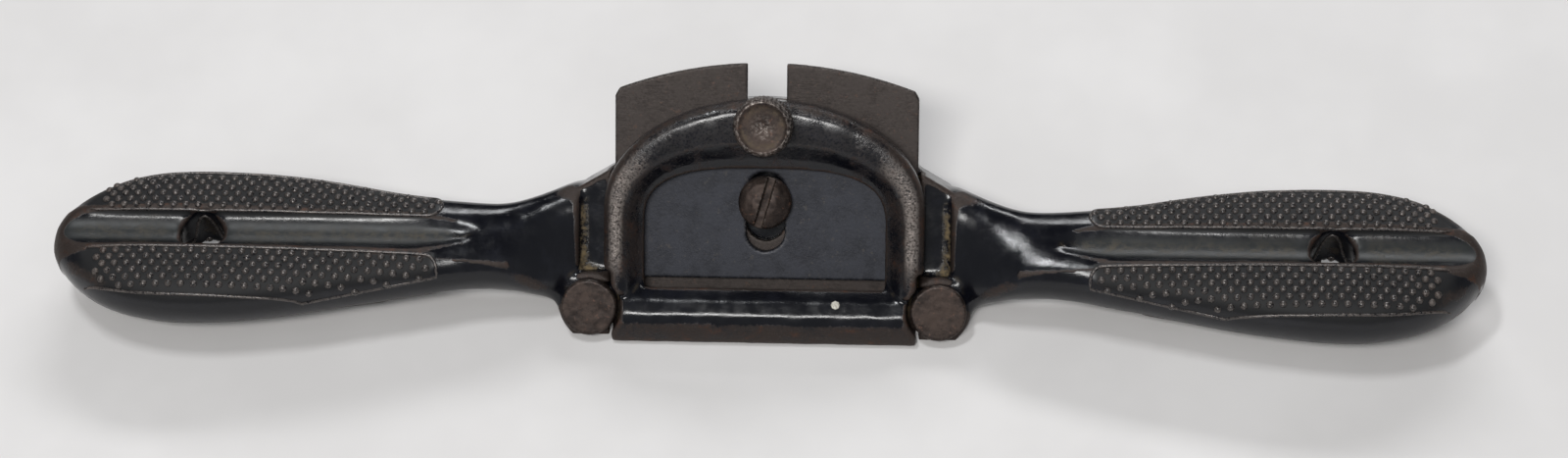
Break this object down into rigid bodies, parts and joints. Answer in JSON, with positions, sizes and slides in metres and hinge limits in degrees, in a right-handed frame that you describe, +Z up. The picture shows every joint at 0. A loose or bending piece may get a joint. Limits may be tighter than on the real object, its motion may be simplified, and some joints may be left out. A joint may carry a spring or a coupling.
{
  "type": "metal spokeshave",
  "caption": "Cast-iron spokeshave with chequered straight handles, a slotted cutter, a cap iron and an arched front that tilts to set the mouth.",
  "frame": {"origin": "middle of the heel's sole, behind the mouth", "axes": "+X along the handles, -Y towards the toe, +Z up from the sole"},
  "size_m": [0.254, 0.0436, 0.0368],
  "materials": {
    "japan": "glossy black japanning over cast iron, worn brown along the edges",
    "worn_iron": "black japanning worn to brown cast iron",
    "cutter_steel": "dark brown-grey patina on tool steel",
    "cap_steel": "smooth blue-grey steel",
    "screw_steel": "dull brown patina on turned steel",
    "spring_steel": "dull spring wire"
  },
  "bodies": {
    "casting": {"body_casting": "japan", "mouth_spring": "spring_steel", "left_retaining_screw": "screw_steel", "right_retaining_screw": "screw_steel"},
    "toe": {"toe_section": "worn_iron"},
    "thumbscrew": {"mouth_thumbscrew": "screw_steel"},
    "cutter": {"cutter": "cutter_steel"},
    "cap": {"cap_iron": "cap_steel"},
    "cap_screw": {"cap_screw": "screw_steel"}
  },
  "joints": [
    {"name": "toe_tilt", "type": "hinge", "parent": "casting", "child": "toe", "pos_m": [0, -0.00943, 0.00389], "axis": [1, 0, 0], "range_deg": [-2, 3.5], "deforming": ["mouth_spring"]},
    {"name": "thumbscrew_turn", "type": "hinge", "parent": "toe", "child": "thumbscrew", "pos_m": [0, 0.01638, 0.02263], "axis": [0, -0.7071, 0.7071], "range_deg": [-435, 760]},
    {"name": "cutter_slide", "type": "slide", "parent": "casting", "child": "cutter", "axis": [0, 0.7071, 0.7071], "range_m": [-0.001, 0.003]},
    {"name": "cap_slide", "type": "slide", "parent": "casting", "child": "cap", "axis": [0, 0.7071, 0.7071], "range_m": [-0.001, 0.0008]},
    {"name": "cap_screw_turn", "type": "hinge", "parent": "casting", "child": "cap_screw", "pos_m": [0, 0.00605, 0.0123], "axis": [0, -0.7071, 0.7071], "range_deg": [0, 360]}
  ],
  "couplings": [
    {"joint": "thumbscrew_turn", "follows": "toe_tilt", "ratio": 216.45}
  ]
}
